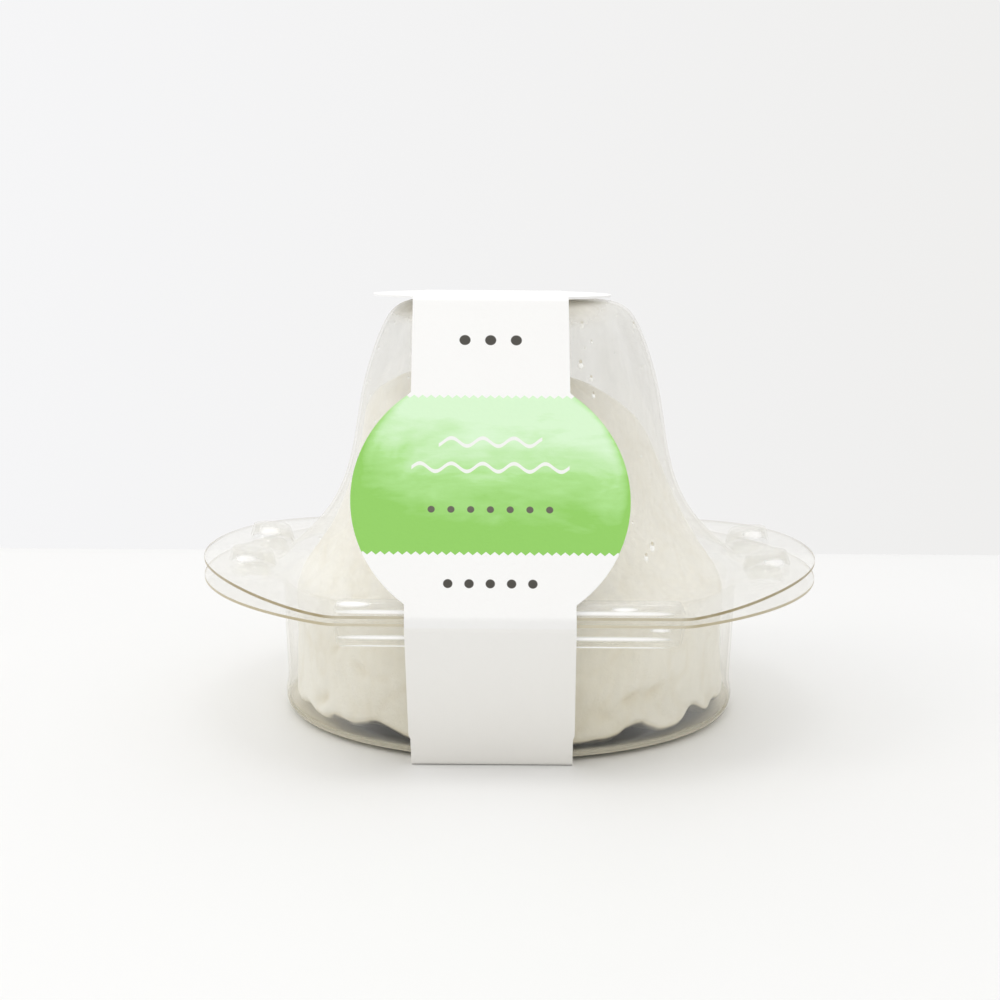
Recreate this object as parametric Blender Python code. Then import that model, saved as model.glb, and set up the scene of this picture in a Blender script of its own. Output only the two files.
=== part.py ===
"""A soft goat cheese, bell shaped, in a shut clear pack with a card sleeve.

The pack is a formed tray and a formed bell lid. Both have a wide flange, flat at the front
and the back, with two press buttons on each side lobe and a long latch rib on each flat.
The card sleeve goes under the tray, up past the flange's flats and over the bell.
Lengths below are in millimetres. Z is up, the front is -Y, and the floor is z = 0.
"""
import math

import bmesh
import bpy
from mathutils import Vector
from mathutils.geometry import delaunay_2d_cdt

MM = 0.001

# Sheet and card
SHEET = 0.5
CARD = 0.4
AROUND = 56

# Flange, seen from above
FLANGE_R = 59.9
FLANGE_FLAT = 51.6
FLANGE_CORNER = 3.0

# Press buttons on the lobes
BUTTON_X = 49.2
BUTTON_Y = 13.0

# Latch ribs on the flats
RIB_HALF = 30.0
RIB_IN = 46.3
RIB_OUT = 50.8
RIB_CORNER = 1.4

# Tray: outside of the sheet, radius and height
TRAY_WALL = [
    (12.0, 0.75),
    (27.0, 0.75),
    (38.5, 0.75),
    (42.6, 0.75),
    (43.6, 1.0),
    (44.2, 1.8),
    (44.5, 3.4),
    (44.1, 5.6),
    (44.4, 15.0),
    (44.8, 25.2),
    (45.3, 26.7),
    (46.2, 27.1),
]

# The card squeezes the foot of the tray and of the cheese from front to back, up to a height
SQUEEZE = 0.035
SQUEEZE_FROM = 6.0
SQUEEZE_TO = 16.0

# Tray: flange, ribs and buttons
TRAY_FLANGE_Z = 27.1
TRAY_RIB_DEPTH = 3.9
TRAY_BUTTON_R = 3.0
TRAY_BUTTON_H = 2.3

# Lid: outside of the sheet, radius and height
LID_WALL = [
    (9.0, 80.4),
    (17.0, 80.35),
    (20.8, 79.7),
    (23.3, 78.0),
    (25.3, 74.6),
    (27.4, 69.0),
    (29.0, 63.1),
    (30.1, 56.9),
    (31.0, 51.6),
    (32.8, 45.2),
    (35.4, 40.0),
    (37.7, 37.0),
    (40.4, 34.1),
    (43.2, 31.6),
]
LID_ROOT = (45.6, 30.0)
LID_FLANGE_Z = 28.9
LID_SETTLE_R = 49.5
LID_RIB_HEIGHT = 2.0
LID_BUTTON_R = 4.4
LID_BUTTON_H = 2.6

# The lid's lobes bend up from the fold line towards their tips
LOBE_FOLD_X = 30.0
LOBE_TIP_X = 60.0
LOBE_LIFT = 2.3

# Sleeve: outside of the card, as corners at a distance from the middle and a height
SLEEVE_X = -3.3
SLEEVE_LEAN = 0.9
SLEEVE_FOOT = (42.9, 0.0)
SLEEVE_FLANGE_LOW = (52.65, 26.4)
SLEEVE_FLANGE_HIGH = (52.65, 28.7)
SLEEVE_CROWN = (22.4, 81.3)
FOOT_BEND = 1.2
FLANGE_BEND = 2.0
CROWN_BEND = 1.2
BAND_HALF = 14.5
BAND_HALF_BASE = 14.2
BAND_HALF_TOP = 14.1
MEDALLION_R = 24.2
MEDALLION_FROM_CROWN = 38.7
TOP_DISC_R = 23.1

# Cheese: radius and height, from the middle of the foot to the middle of the top
CHEESE_WALL = [
    (12.0, 1.6),
    (26.0, 1.6),
    (35.0, 1.6),
    (39.6, 1.6),
    (41.9, 1.95),
    (42.8, 3.2),
    (42.9, 5.2),
    (42.7, 8.5),
    (42.7, 13.0),
    (42.8, 18.0),
    (42.9, 22.5),
    (42.3, 26.0),
    (40.6, 29.2),
    (38.4, 32.3),
    (36.2, 35.6),
    (34.2, 39.2),
    (32.2, 43.6),
    (30.6, 48.0),
    (29.5, 52.2),
    (28.5, 56.0),
    (26.3, 59.3),
    (22.8, 62.0),
    (18.4, 64.3),
    (13.0, 66.0),
    (7.0, 67.0),
]
CHEESE_TOP = 67.4
CHEESE_AROUND = 56
FOOT_GAP = 0.4
# Hollows along the foot: degrees from the front, half width in degrees, and lift of the edge
FOOT_HOLLOWS = [
    (-166, 13, 1.5),
    (-128, 14, 1.8),
    (-103, 10, 1.0),
    (-66, 7, 0.9),
    (-49, 7, 0.9),
    (-35, 13, 1.5),
    (34, 9, 1.9),
    (56, 8, 2.1),
    (71, 7, 1.0),
    (108, 12, 1.6),
    (146, 13, 2.0),
]


def start_empty():
    for obj in list(bpy.data.objects):
        bpy.data.objects.remove(obj, do_unlink=True)


def make_material(name, colour, roughness, transmission=0.0, alpha=1.0, subsurface=0.0):
    material = bpy.data.materials.new(name)
    material.use_nodes = True
    shader = material.node_tree.nodes["Principled BSDF"]
    shader.inputs["Base Color"].default_value = (*colour, 1.0)
    shader.inputs["Roughness"].default_value = roughness
    shader.inputs["IOR"].default_value = 1.5
    shader.inputs["Transmission Weight"].default_value = transmission
    shader.inputs["Subsurface Weight"].default_value = subsurface
    shader.inputs["Alpha"].default_value = alpha
    material.diffuse_color = (*colour, alpha)
    return material


def smooth_step(value):
    value = min(max(value, 0.0), 1.0)
    return value * value * (3.0 - 2.0 * value)


def ring_points(radius, count):
    points = []
    for index in range(count):
        turn = 2.0 * math.pi * index / count
        points.append((radius * math.cos(turn), radius * math.sin(turn)))
    return points


def squeeze(z):
    """Share that is left of the depth from front to back at a height."""
    return 1.0 - SQUEEZE * (1.0 - smooth_step((z - SQUEEZE_FROM) / (SQUEEZE_TO - SQUEEZE_FROM)))


def flange_outline():
    """The flange's edge: a circle cut flat at the front and the back, with rounded corners."""
    mid_y = FLANGE_FLAT - FLANGE_CORNER
    mid_x = math.sqrt((FLANGE_R - FLANGE_CORNER) ** 2 - mid_y ** 2)
    reach = math.atan2(mid_y, mid_x)
    quarter = []
    for index in range(15):
        turn = reach * index / 14
        quarter.append((FLANGE_R * math.cos(turn), FLANGE_R * math.sin(turn)))
    for index in (1, 2, 3):
        turn = reach + (math.pi / 2 - reach) * index / 3
        x = mid_x + FLANGE_CORNER * math.cos(turn)
        y = mid_y + FLANGE_CORNER * math.sin(turn)
        quarter.append((x, y))
    for share in (0.66, 0.33):
        quarter.append((mid_x * share, FLANGE_FLAT))
    first = quarter
    middle = [(0.0, FLANGE_FLAT)]
    second = [(-x, y) for x, y in reversed(quarter)]
    third = [(-x, -y) for x, y in quarter[1:]]
    fourth = [(x, -y) for x, y in reversed(quarter[1:])]
    return first + middle + second + third + [(0.0, -FLANGE_FLAT)] + fourth


class Button:
    """A round boss: it rises by rise across its rounded side."""

    def __init__(self, x, y, radius, rise):
        self.x = x
        self.y = y
        self.radius = radius
        self.rise = rise
        self.side = 0.8

    def depth(self, x, y):
        return self.radius - math.hypot(x - self.x, y - self.y)

    def loop(self, inset):
        points = []
        for index in range(14):
            turn = 2.0 * math.pi * (index + 0.5) / 14
            reach = self.radius - inset
            points.append((self.x + reach * math.cos(turn), self.y + reach * math.sin(turn)))
        return points


class Rib:
    """A long boss with rounded ends along one flat of the flange."""

    def __init__(self, side_of_y, rise):
        self.mid = side_of_y * (RIB_IN + RIB_OUT) / 2
        self.half_x = RIB_HALF
        self.half_y = (RIB_OUT - RIB_IN) / 2
        self.rise = rise
        self.side = 0.9

    def depth(self, x, y):
        dx = abs(x) - (self.half_x - RIB_CORNER)
        dy = abs(y - self.mid) - (self.half_y - RIB_CORNER)
        outside = math.hypot(max(dx, 0.0), max(dy, 0.0))
        inside = min(max(dx, dy), 0.0)
        return RIB_CORNER - outside - inside

    def loop(self, inset):
        half_x = self.half_x - inset
        half_y = self.half_y - inset
        corner = max(RIB_CORNER - inset, 0.25)
        points = []
        for sign_x, sign_y, start in ((1, 1, 0), (-1, 1, 90), (-1, -1, 180), (1, -1, 270)):
            mid_x = sign_x * (half_x - corner)
            mid_y = self.mid + sign_y * (half_y - corner)
            for step in (0, 45, 90):
                turn = math.radians(start + step)
                x = mid_x + corner * math.cos(turn)
                y = mid_y + corner * math.sin(turn)
                points.append((x, y))
        full = []
        for index, point in enumerate(points):
            after = points[(index + 1) % len(points)]
            full.append(point)
            length = math.hypot(after[0] - point[0], after[1] - point[1])
            pieces = int(length // 14.0)
            for piece in range(1, pieces):
                share = piece / pieces
                x = point[0] + (after[0] - point[0]) * share
                y = point[1] + (after[1] - point[1]) * share
                full.append((x, y))
        return full


def boss_height(boss, x, y):
    depth = boss.depth(x, y)
    if depth <= 0.0:
        return 0.0
    share = min(depth / boss.side, 1.0)
    return boss.rise * math.sin(share * math.pi / 2)


def clear_runs(ring, bosses):
    """The stretches of a ring that keep off the bosses and the flats."""
    clear = []
    for x, y in ring:
        off_bosses = all(boss.depth(x, y) < -0.7 for boss in bosses)
        clear.append(off_bosses and abs(y) < FLANGE_FLAT - 0.7)
    if all(clear):
        return [ring]
    runs = []
    for start in range(len(ring)):
        if clear[start] and not clear[start - 1]:
            run = []
            index = start
            while clear[index % len(ring)]:
                run.append(ring[index % len(ring)])
                index += 1
            runs.append(run)
    return runs


def make_flange(mesh, root_ring, root_points, rings, bosses, height):
    """Meshes the flange between its root ring and its edge, then sets each point's height."""
    points = list(root_points)
    edges = [(i, (i + 1) % len(root_points)) for i in range(len(root_points))]

    def add_loop(loop, closed=True):
        start = len(points)
        points.extend(loop)
        last = len(loop) if closed else len(loop) - 1
        for index in range(last):
            edges.append((start + index, start + (index + 1) % len(loop)))

    edge_loop = flange_outline()
    add_loop(edge_loop)
    for boss in bosses:
        for inset in (0.0, boss.side * 0.35, boss.side):
            add_loop(boss.loop(inset))
    for radius in rings:
        ring = ring_points(radius, AROUND)
        for run in clear_runs(ring, bosses):
            add_loop(run, closed=len(run) == AROUND)

    flat = [Vector(point) for point in points]
    out_points, _, triangles, sources, _, _ = delaunay_2d_cdt(flat, edges, [], 0, 0.00001)
    verts = {}
    for index, source in enumerate(sources):
        root = [i for i in source if i < len(root_points)]
        if root:
            verts[index] = root_ring[root[0]]
    for triangle in triangles:
        mid_x = sum(out_points[i][0] for i in triangle) / 3
        mid_y = sum(out_points[i][1] for i in triangle) / 3
        if not inside_loop(edge_loop, mid_x, mid_y) or inside_loop(root_points, mid_x, mid_y):
            continue
        corners = []
        for i in triangle:
            if i not in verts:
                x, y = out_points[i]
                verts[i] = mesh.verts.new((x * MM, y * MM, height(x, y) * MM))
            corners.append(verts[i])
        mesh.faces.new(corners)


def inside_loop(loop, x, y):
    inside = False
    for index, (ax, ay) in enumerate(loop):
        bx, by = loop[index - 1]
        if (ay > y) != (by > y):
            if x < (bx - ax) * (y - ay) / (by - ay) + ax:
                inside = not inside
    return inside


def make_wall(mesh, profile):
    """Turns a profile about Z: a fan at the middle and a band between each two rings."""
    rings = []
    for radius, z in profile:
        ring = []
        for x, y in ring_points(radius, AROUND):
            ring.append(mesh.verts.new((x * MM, y * squeeze(z) * MM, z * MM)))
        rings.append(ring)
    middle = mesh.verts.new((0.0, 0.0, profile[0][1] * MM))
    for index in range(AROUND):
        after = (index + 1) % AROUND
        mesh.faces.new((middle, rings[0][index], rings[0][after]))
    for inner, outer in zip(rings, rings[1:]):
        for index in range(AROUND):
            after = (index + 1) % AROUND
            mesh.faces.new((inner[index], outer[index], outer[after], inner[after]))
    return rings[-1]


def finish_sheet(mesh, name, material, outward, thickness):
    """Turns the faces outwards, gives the sheet its thickness and links the object."""
    mesh.faces.ensure_lookup_table()
    bmesh.ops.recalc_face_normals(mesh, faces=mesh.faces)
    probe = mesh.faces[0]
    probe.normal_update()
    if probe.normal.dot(Vector(outward)) < 0:
        bmesh.ops.reverse_faces(mesh, faces=mesh.faces)
    data = bpy.data.meshes.new(name)
    mesh.to_mesh(data)
    mesh.free()
    data.materials.append(material)
    obj = bpy.data.objects.new(name, data)
    bpy.context.scene.collection.objects.link(obj)
    wall = obj.modifiers.new("wall", "SOLIDIFY")
    wall.thickness = thickness * MM
    wall.offset = -1.0
    wall.use_even_offset = False
    return obj


def make_tray(material):
    ribs = [Rib(side, -TRAY_RIB_DEPTH) for side in (-1, 1)]
    buttons = []
    for side_x in (-1, 1):
        for side_y in (-1, 1):
            buttons.append(Button(side_x * BUTTON_X, side_y * BUTTON_Y, TRAY_BUTTON_R, TRAY_BUTTON_H))
    bosses = ribs + buttons

    def height(x, y):
        return TRAY_FLANGE_Z + sum(boss_height(boss, x, y) for boss in bosses)

    mesh = bmesh.new()
    wall = TRAY_WALL[:-1]
    root_ring = make_wall(mesh, wall)
    root_points = ring_points(wall[-1][0], AROUND)
    make_flange(mesh, root_ring, root_points, [TRAY_WALL[-1][0], 53.5], bosses, height)
    return finish_sheet(mesh, "tray", material, (0, 0, -1), SHEET)


def make_lid(material):
    ribs = [Rib(side, LID_RIB_HEIGHT) for side in (-1, 1)]
    buttons = []
    for side_x in (-1, 1):
        for side_y in (-1, 1):
            buttons.append(Button(side_x * BUTTON_X, side_y * BUTTON_Y, LID_BUTTON_R, LID_BUTTON_H))
    bosses = ribs + buttons

    def height(x, y):
        reach = math.hypot(x, y)
        share = (reach - LID_ROOT[0]) / (LID_SETTLE_R - LID_ROOT[0])
        share = min(max(share, 0.0), 1.0)
        flare = (LID_ROOT[1] - LID_FLANGE_Z) * (1.0 - share) ** 2
        bend = smooth_step((abs(x) - LOBE_FOLD_X) / (LOBE_TIP_X - LOBE_FOLD_X))
        lift = LOBE_LIFT * bend * smooth_step((reach - LID_ROOT[0] + 0.6) / 4.5)
        boss = sum(boss_height(boss, x, y) for boss in bosses)
        return LID_FLANGE_Z + flare + lift + boss

    mesh = bmesh.new()
    root_ring = make_wall(mesh, LID_WALL)
    root_points = ring_points(LID_WALL[-1][0], AROUND)
    make_flange(mesh, root_ring, root_points, [LID_ROOT[0], 47.4, LID_SETTLE_R, 55.0], bosses, height)
    return finish_sheet(mesh, "lid", material, (0, 0, 1), SHEET)


def bend_points(before, corner, after, radius, steps):
    """Points along a rounded corner of the sleeve's path."""
    corner = Vector(corner)
    back = (Vector(before) - corner).normalized()
    ahead = (Vector(after) - corner).normalized()
    half = back.angle(ahead) / 2
    reach = radius / math.tan(half)
    centre = corner + (back + ahead).normalized() * (radius / math.sin(half))
    start = (corner + back * reach - centre).normalized()
    end = (corner + ahead * reach - centre).normalized()
    points = []
    for step in range(steps + 1):
        point = centre + start.slerp(end, step / steps) * radius
        points.append((point.x, point.y))
    return points


def disc_stations(start, toward, middle, radius, band_half, steps):
    """Stations of a disc in the band: place along a line, and half width there."""
    start = Vector(start)
    direction = (Vector(toward) - start).normalized()
    meet = math.asin(band_half / radius)
    stations = []
    for step in range(steps + 1):
        turn = meet + (math.pi - 2.0 * meet) * step / steps
        place = start + direction * (middle - radius * math.cos(turn))
        stations.append((place.x, place.y, radius * math.sin(turn)))
    return stations


def sleeve_stations():
    """Stations along the outside of the card, as y, z and half width: from the middle of
    the base up the front, over the top and down the back."""
    foot = SLEEVE_FOOT
    low = SLEEVE_FLANGE_LOW
    high = SLEEVE_FLANGE_HIGH
    crown = SLEEVE_CROWN
    base = [(0.0, 0.0), (foot[0] * 0.5, 0.0)]
    base += bend_points((0.0, 0.0), foot, low, FOOT_BEND, 4)
    side = bend_points(foot, low, high, FLANGE_BEND, 2)
    side += bend_points(low, high, crown, FLANGE_BEND, 2)
    shoulder = bend_points(high, crown, (0.0, crown[1]), CROWN_BEND, 3)
    medallion = disc_stations(crown, high, MEDALLION_FROM_CROWN, MEDALLION_R, BAND_HALF, 12)
    top = disc_stations((0.0, crown[1]), (-1.0, crown[1]), 0.0, TOP_DISC_R, BAND_HALF_TOP, 10)

    up = [(y, z, BAND_HALF_BASE) for y, z in base]
    up += [(y, z, BAND_HALF) for y, z in side]
    over = [(y, z, BAND_HALF_TOP) for y, z in shoulder]
    front = [(-y, z, half) for y, z, half in up + medallion[::-1] + over]
    back = [(y, z, half) for y, z, half in (up + over)[:0:-1]]
    return front + top[::-1] + back


def make_sleeve(material):
    mesh = bmesh.new()
    rows = []
    for y, z, half in sleeve_stations():
        lean = SLEEVE_X - SLEEVE_LEAN * (z / 81.3 - 0.5)
        row = []
        for x in (lean - half, lean, lean + half):
            row.append(mesh.verts.new((x * MM, y * MM, z * MM)))
        rows.append(row)
    for index, row in enumerate(rows):
        after = rows[(index + 1) % len(rows)]
        for side in (0, 1):
            mesh.faces.new((row[side], row[side + 1], after[side + 1], after[side]))
    return finish_sheet(mesh, "sleeve", material, (0, 0, -1), CARD)


def cheese_lumps(turn, z):
    """Soft relief of the rind, in millimetres, never outwards past the profile."""
    value = 0.0
    waves = (
        (3, 0.07, 0.4, 0.34),
        (5, 0.16, 1.7, 0.30),
        (8, -0.22, 2.9, 0.24),
        (11, 0.31, 0.8, 0.20),
        (14, -0.12, 4.1, 0.14),
    )
    for around, up, shift, size in waves:
        value += size * math.sin(around * turn + up * z + shift + 0.6 * math.sin(2 * turn + shift))
    return 0.5 * (value - 0.9)


def foot_lift(turn):
    """How far the foot's edge lifts off the tray at an angle about Z."""
    degrees = math.degrees(math.atan2(math.cos(turn), -math.sin(turn)))
    lift = FOOT_GAP
    for middle, half_width, size in FOOT_HOLLOWS:
        away = abs((degrees - middle + 180.0) % 360.0 - 180.0)
        if away < half_width:
            lift += size * math.cos(math.pi / 2 * away / half_width) ** 2
    return lift


def make_cheese(material):
    mesh = bmesh.new()
    rings = []
    for radius, z in CHEESE_WALL:
        ring = []
        for index in range(CHEESE_AROUND):
            turn = 2.0 * math.pi * index / CHEESE_AROUND
            lift = foot_lift(turn)
            if z > 5.1:
                near_edge = 0.6 * max(0.0, 1.0 - (z - 5.0) / 6.0)
            else:
                near_edge = smooth_step((radius - 30.0) / 11.0)
            rise = lift * near_edge
            reach = radius
            if z > 3.0:
                reach += cheese_lumps(turn, z) * min(1.0, radius / 20.0)
            elif radius > 38.0:
                reach -= 0.35 * lift
            x = reach * math.cos(turn)
            y = reach * math.sin(turn) * squeeze(z)
            lean = smooth_step((z - 46.0) / 12.0) * -0.13 * x
            drop = 0.5 * math.sin(3 * turn + 0.7) * smooth_step((z - 52.0) / 10.0) * min(1.0, radius / 15.0)
            ring.append(mesh.verts.new((x * MM, y * MM, (z + rise + lean + drop) * MM)))
        rings.append(ring)
    foot = mesh.verts.new((0.0, 0.0, CHEESE_WALL[0][1] * MM))
    crown = mesh.verts.new((0.0, 0.0, CHEESE_TOP * MM))
    count = CHEESE_AROUND
    for index in range(count):
        after = (index + 1) % count
        mesh.faces.new((foot, rings[0][after], rings[0][index]))
        mesh.faces.new((crown, rings[-1][index], rings[-1][after]))
    for lower, upper in zip(rings, rings[1:]):
        for index in range(count):
            after = (index + 1) % count
            mesh.faces.new((lower[index], lower[after], upper[after], upper[index]))
    bmesh.ops.recalc_face_normals(mesh, faces=mesh.faces)
    data = bpy.data.meshes.new("cheese")
    mesh.to_mesh(data)
    mesh.free()
    data.materials.append(material)
    obj = bpy.data.objects.new("cheese", data)
    bpy.context.scene.collection.objects.link(obj)
    return obj


start_empty()
rind = make_material("rind", (0.83, 0.81, 0.73), 0.55, subsurface=0.1)
clear_sheet = make_material("clear_sheet", (0.93, 0.95, 0.94), 0.05, transmission=1.0, alpha=0.3)
clear_sheet_lid = make_material("clear_sheet_lid", (0.93, 0.95, 0.94), 0.05, transmission=1.0, alpha=0.3)
card = make_material("card", (0.9, 0.9, 0.89), 0.4)

make_cheese(rind)
make_tray(clear_sheet)
make_lid(clear_sheet_lid)
make_sleeve(card)
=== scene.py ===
"""Looks of a soft goat cheese, bell shaped, shut in a clear tray and lid with a card sleeve.

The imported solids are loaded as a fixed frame. Each is replaced by a finer piece of the same
form: the cheese's rind, the two formed clear sheets and the printed card. Drops of water
hang inside the lid. Lengths in the tables are in millimetres. The front is -Y.
"""
import math
import random

import bmesh
import bpy
from mathutils import Matrix, Vector, noise


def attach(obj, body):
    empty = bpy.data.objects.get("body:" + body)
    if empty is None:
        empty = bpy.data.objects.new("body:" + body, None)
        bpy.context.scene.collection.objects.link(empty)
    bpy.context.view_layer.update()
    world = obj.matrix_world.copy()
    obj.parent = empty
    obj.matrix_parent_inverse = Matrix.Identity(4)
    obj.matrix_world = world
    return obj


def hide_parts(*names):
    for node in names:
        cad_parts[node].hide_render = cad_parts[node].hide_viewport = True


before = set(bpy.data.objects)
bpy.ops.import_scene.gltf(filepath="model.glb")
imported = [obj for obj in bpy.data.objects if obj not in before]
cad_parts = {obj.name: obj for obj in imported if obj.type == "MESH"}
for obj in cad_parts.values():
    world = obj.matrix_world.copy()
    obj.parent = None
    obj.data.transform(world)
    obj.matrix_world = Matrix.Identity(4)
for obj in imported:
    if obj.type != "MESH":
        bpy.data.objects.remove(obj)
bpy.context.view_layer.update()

bl_info = {
    "name": "Soft goat cheese in a clear pack",
    "version": (1, 0, 0),
    "blender": (4, 5, 0),
    "location": "3D View > Sidebar > Cheese",
    "description": "Builds a bell-shaped soft goat cheese in its clear pack and card sleeve",
    "category": "Add Mesh",
}

MM = 0.001

# The card squeezes the foot of the tray and of the cheese from front to back, up to a height
SQUEEZE = 0.035
SQUEEZE_FROM = 6.0
SQUEEZE_TO = 16.0

# Flange of both sheets, seen from above
FLANGE_R = 59.9
FLANGE_FLAT = 51.6
BUTTON_X = 49.2
BUTTON_Y = 13.0
BUTTON_SIDE = 0.8
RIB_HALF = 30.0
RIB_IN = 46.3
RIB_OUT = 50.8
RIB_CORNER = 1.4
RIB_SIDE = 0.9

# Tray: outside of the sheet, radius and height
TRAY_WALL = [
    (0.0, 0.75),
    (12.0, 0.75),
    (27.0, 0.75),
    (38.5, 0.75),
    (42.6, 0.75),
    (43.6, 1.0),
    (44.2, 1.8),
    (44.5, 3.4),
    (44.1, 5.6),
    (44.15, 9.0),
    (44.4, 15.0),
    (44.8, 25.2),
    (45.3, 26.7),
    (46.2, 27.1),
]
TRAY_FLANGE_Z = 27.1
TRAY_RIB_DEPTH = 3.9
TRAY_BUTTON_R = 3.0
TRAY_BUTTON_H = 2.3

# Lid: outside of the sheet, radius and height
LID_WALL = [
    (0.0, 80.4),
    (9.0, 80.4),
    (17.0, 80.35),
    (20.8, 79.7),
    (23.3, 78.0),
    (25.3, 74.6),
    (27.4, 69.0),
    (29.0, 63.1),
    (30.1, 56.9),
    (31.0, 51.6),
    (32.8, 45.2),
    (35.4, 40.0),
    (37.7, 37.0),
    (40.4, 34.1),
    (43.2, 31.6),
    (45.6, 30.0),
]
LID_ROOT = (45.6, 30.0)
LID_FLANGE_Z = 28.9
LID_SETTLE_R = 49.5
LID_RIB_HEIGHT = 2.0
LID_BUTTON_R = 4.4
LID_BUTTON_H = 2.6
LOBE_FOLD_X = 30.0
LOBE_TIP_X = 60.0
LOBE_LIFT = 2.3

# Sleeve: outside of the card, as corners (y, z, bend radius) from the front foot over the top
SLEEVE_CORNERS = [
    (-42.9, 0.0, 1.2),
    (-52.65, 26.4, 2.0),
    (-52.65, 28.7, 2.0),
    (-22.4, 81.3, 1.2),
    (22.4, 81.3, 1.2),
    (52.65, 28.7, 2.0),
    (52.65, 26.4, 2.0),
    (42.9, 0.0, 1.2),
]
SLEEVE_X = -3.3
SLEEVE_LEAN = 0.9
SLEEVE_TOP = 81.3
PANEL_SLOPE = 60.68 / 52.6
BAND_HALF = 14.5
BAND_HALF_BASE = 14.2
BAND_HALF_TOP = 14.1
MEDALLION_R = 24.2
MEDALLION_FROM_CROWN = 38.7
TOP_DISC_R = 23.1
PRINT_TOP = 19.7
PRINT_BOTTOM = 49.0
PINK_STEP = 1.5
PINK_DEPTH = 0.62

# Cheese: radius and height, from the middle of the foot to the middle of the top
CHEESE_WALL = [
    (0.0, 1.6),
    (12.0, 1.6),
    (26.0, 1.6),
    (35.0, 1.6),
    (39.6, 1.6),
    (41.9, 1.95),
    (42.8, 3.2),
    (42.9, 5.2),
    (42.7, 8.5),
    (42.7, 13.0),
    (42.8, 18.0),
    (42.9, 22.5),
    (42.3, 26.0),
    (40.6, 29.2),
    (38.4, 32.3),
    (36.2, 35.6),
    (34.2, 39.2),
    (32.2, 43.6),
    (30.6, 48.0),
    (29.5, 52.2),
    (28.5, 56.0),
    (26.3, 59.3),
    (22.8, 62.0),
    (18.4, 64.3),
    (13.0, 66.0),
    (7.0, 67.0),
    (0.0, 67.4),
]
# Hollows along the foot: degrees from the front, half width in degrees, and lift of the edge
FOOT_HOLLOWS = [
    (-166, 13, 1.5),
    (-128, 14, 1.8),
    (-103, 10, 1.0),
    (-66, 7, 0.9),
    (-49, 7, 0.9),
    (-35, 13, 1.5),
    (34, 9, 1.9),
    (56, 8, 2.1),
    (71, 7, 1.0),
    (108, 12, 1.6),
    (146, 13, 2.0),
]
# Pits of the rind: place, half size along and across, tilt in degrees, and depth
PITS = [
    ((-33.0, -27.1, 16.8), 1.8, 0.9, 20, 1.0),
    ((-27.8, -32.4, 14.2), 2.4, 1.0, -25, 1.1),
    ((-23.0, -35.9, 13.3), 1.6, 0.8, 10, 0.9),
    ((27.5, -32.5, 10.1), 3.0, 1.0, 25, 1.2),
    ((18.0, -38.4, 7.3), 1.8, 0.8, -10, 0.9),
    ((23.4, -35.5, 9.8), 3.2, 0.9, 18, 1.2),
    ((-35.7, -22.7, 6.1), 2.6, 1.0, 30, 1.3),
]
# Painted highlights on the sheets' bends: middle and half sizes
LID_GLINTS = [
    ((-0.9, -50.5, 29.35), (29.4, 1.2, 0.42)),
    ((-26.6, -50.1, 30.6), (3.4, 1.3, 0.50)),
    ((19.6, -50.2, 30.0), (2.6, 1.3, 0.36)),
    ((-49.2, 9.2, 32.3), (2.8, 1.0, 1.0)),
    ((-50.2, -16.9, 31.7), (2.6, 1.0, 0.8)),
    ((50.4, 9.2, 32.3), (3.0, 1.0, 1.0)),
    ((51.0, -16.9, 31.7), (3.2, 1.0, 0.8)),
]
TRAY_GLINTS = [
    ((-0.9, -50.5, 24.9), (29.0, 1.3, 0.42)),
    ((25.6, -50.5, 26.5), (1.9, 1.3, 0.36)),
    ((-0.9, -50.0, 23.35), (28.4, 1.0, 0.20)),
]
# Seed of the noise that warps the rind's folds, so that each run gives the same rind
NOISE_SEED = 3
# Drops that hang inside the lid: place on the bell, and radius
DROPS = [
    ((13.0, -19.8, 76.4), 0.62),
    ((23.6, -5.1, 75.7), 0.55),
    ((12.7, -23.5, 69.4), 0.70),
    ((14.7, -23.2, 66.8), 0.55),
    ((15.1, -23.9, 63.9), 0.50),
    ((26.1, -27.2, 36.5), 0.75),
    ((24.8, -30.0, 35.1), 0.60),
]


class CheeseSettings(bpy.types.PropertyGroup):
    relief: bpy.props.FloatProperty(
        name="Relief", description="Depth of the rind's soft folds",
        default=0.0004, min=0.0, max=0.003, unit="LENGTH")
    wrinkle: bpy.props.FloatProperty(
        name="Wrinkle", description="Depth of the rind's fine wrinkles",
        default=0.00014, min=0.0, max=0.001, unit="LENGTH")
    rind: bpy.props.FloatVectorProperty(
        name="Rind", description="Colour of the rind on its high parts",
        default=(0.95, 0.93, 0.85), subtype="COLOR", size=3, min=0.0, max=1.0)
    # Colour of the painted shade that darkens the rind in its folds and pits
    hollow: bpy.props.FloatVectorProperty(
        name="Hollow", description="Colour of the rind deep in its folds",
        default=(0.78, 0.71, 0.54), subtype="COLOR", size=3, min=0.0, max=1.0)


class SheetSettings(bpy.types.PropertyGroup):
    thickness: bpy.props.FloatProperty(
        name="Thickness", description="Thickness of the formed sheet",
        default=0.0005, min=0.0001, max=0.002, unit="LENGTH")
    clear: bpy.props.FloatVectorProperty(
        name="Clear", description="Light that one face of the sheet lets through",
        default=(0.986, 0.9855, 0.980), subtype="COLOR", size=3, min=0.0, max=1.0)
    lid_edge: bpy.props.FloatVectorProperty(
        name="Lid edge", description="Colour of the lid's cut edge",
        default=(0.36, 0.29, 0.15), subtype="COLOR", size=3, min=0.0, max=1.0)
    tray_edge: bpy.props.FloatVectorProperty(
        name="Tray edge", description="Colour of the tray's cut edge",
        default=(0.52, 0.45, 0.29), subtype="COLOR", size=3, min=0.0, max=1.0)
    small_drops: bpy.props.IntProperty(
        name="Small drops", description="Number of fine drops inside the lid",
        default=70, min=0, max=400)


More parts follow.
